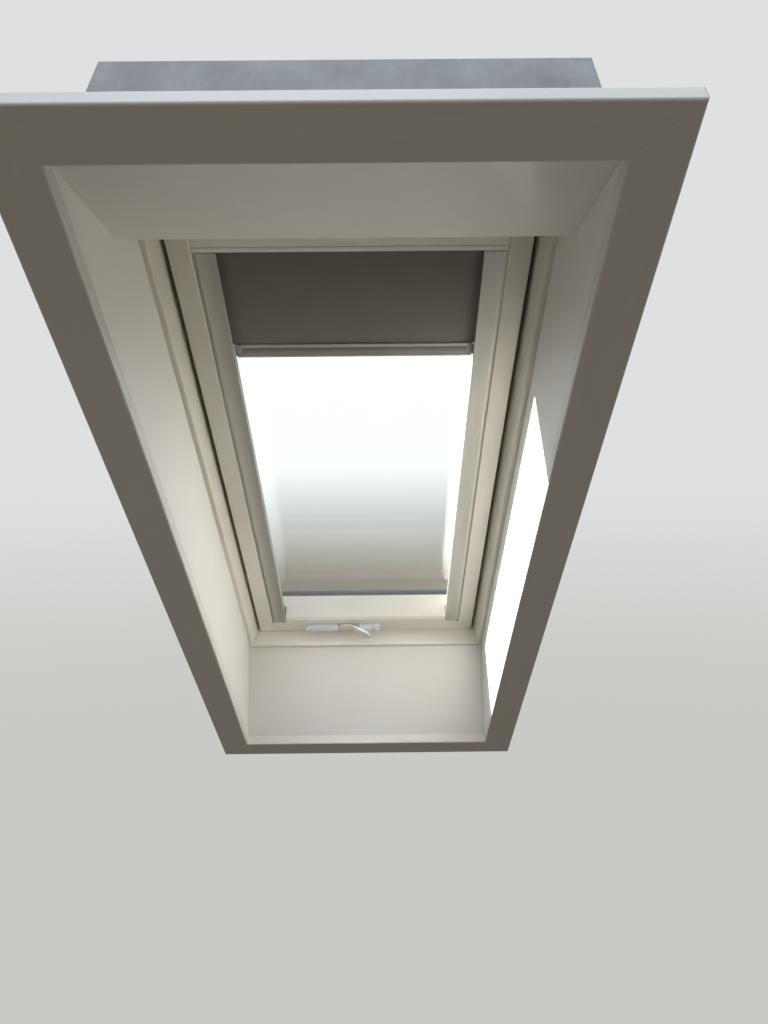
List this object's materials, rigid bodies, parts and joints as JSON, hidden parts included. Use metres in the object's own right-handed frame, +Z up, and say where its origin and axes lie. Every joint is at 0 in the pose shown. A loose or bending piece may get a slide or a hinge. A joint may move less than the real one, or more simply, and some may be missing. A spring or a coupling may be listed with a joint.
{
  "type": "roof skylight",
  "caption": "Top-hung roof window for a pitched roof, with roller blind, bottom handle, white lining boards and mitred trim.",
  "frame": {"origin": "middle of the lining opening, on the room face of the window frame, as installed at a 37 degree roof pitch", "axes": "+Z up, +X to the right seen from the room, +Y level towards the outside and the eaves"},
  "size_m": [0.6782, 1.1987, 1.0204],
  "materials": {
    "frame_paint": "cream-white lacquered pine, satin",
    "lining_paint": "white painted board, satin",
    "trim_paint": "white painted board, satin",
    "black_seal": "matte black rubber",
    "window_glass": "clear float glass",
    "spacer_metal": "dark grey spacer",
    "cover_sheet": "dark grey lacquered sheet",
    "zinc_steel": "zinc-plated steel",
    "blind_metal": "satin anodised aluminium",
    "grey_plastic": "grey moulded plastic",
    "blind_cloth": "dark taupe blackout cloth",
    "handle_metal": "polished anodised aluminium"
  },
  "bodies": {
    "frame": {"frame_left_jamb": "frame_paint", "frame_right_jamb": "frame_paint", "frame_head": "frame_paint", "frame_sill": "frame_paint", "frame_gasket": "black_seal", "lining_left": "lining_paint", "lining_right": "lining_paint", "lining_top": "lining_paint", "lining_bottom": "lining_paint", "lining_head_closer": "lining_paint", "architrave_left": "trim_paint", "architrave_right": "trim_paint", "architrave_top": "trim_paint", "architrave_bottom": "trim_paint", "frame_cover_left": "cover_sheet", "frame_cover_right": "cover_sheet", "frame_cover_sill": "cover_sheet", "head_hood": "cover_sheet", "hinge_frame_leaf_right": "zinc_steel", "hinge_frame_leaf_left": "zinc_steel", "keeper_plate": "zinc_steel", "bracket_upper_right": "zinc_steel", "bracket_upper_left": "zinc_steel", "bracket_lower_right": "zinc_steel", "bracket_lower_left": "zinc_steel", "bracket_screws": "zinc_steel"},
    "sash": {"sash_left_stile": "frame_paint", "sash_right_stile": "frame_paint", "sash_top_rail": "frame_paint", "sash_bottom_rail": "frame_paint", "glass_inner_pane": "window_glass", "glass_outer_pane": "window_glass", "glass_spacer": "spacer_metal", "glazing_gasket": "black_seal", "sash_cover_top": "cover_sheet", "sash_cover_bottom": "cover_sheet", "sash_cover_left": "cover_sheet", "sash_cover_right": "cover_sheet", "hinge_sash_leaf_right": "zinc_steel", "hinge_sash_leaf_left": "zinc_steel", "hinge_pin_right": "zinc_steel", "hinge_pin_left": "zinc_steel", "blind_rail_right": "blind_metal", "blind_rail_left": "blind_metal", "blind_casing": "blind_metal", "blind_cap_right": "blind_metal", "blind_cap_left": "blind_metal", "blind_fabric": "blind_cloth", "handle_plate": "handle_metal", "handle_screws": "zinc_steel"},
    "lever": {"handle_lever": "handle_metal", "lever_spindle": "zinc_steel", "latch_tongue": "zinc_steel"},
    "blind_bar": {"blind_bar": "blind_metal", "blind_bar_end_right": "grey_plastic", "blind_bar_end_left": "grey_plastic"},
    "roller": {"roller_tube": "blind_metal", "fabric_roll": "blind_cloth"}
  },
  "joints": [
    {"name": "sash_hinge", "type": "hinge", "parent": "frame", "child": "sash", "pos_m": [0, -0.38545, 0.42068], "axis": [1, 0, 0], "range_deg": [0, 45]},
    {"name": "handle_turn", "type": "hinge", "parent": "sash", "child": "lever", "pos_m": [-0.0475, 0.43093, -0.29468], "axis": [0, -0.6018, -0.7986], "range_deg": [0, 90]},
    {"name": "blind_slide", "type": "slide", "parent": "sash", "child": "blind_bar", "axis": [0, 0.7986, -0.6018], "range_m": [-0.1557, 0.7119], "deforming": ["blind_fabric"]},
    {"name": "roller_spin", "type": "hinge", "parent": "sash", "child": "roller", "pos_m": [0, -0.31266, 0.31023], "axis": [1, 0, 0], "range_deg": [-3258, 729]}
  ],
  "couplings": [
    {"joint": "roller_spin", "follows": "blind_slide", "rad_per_m": -79.365}
  ]
}
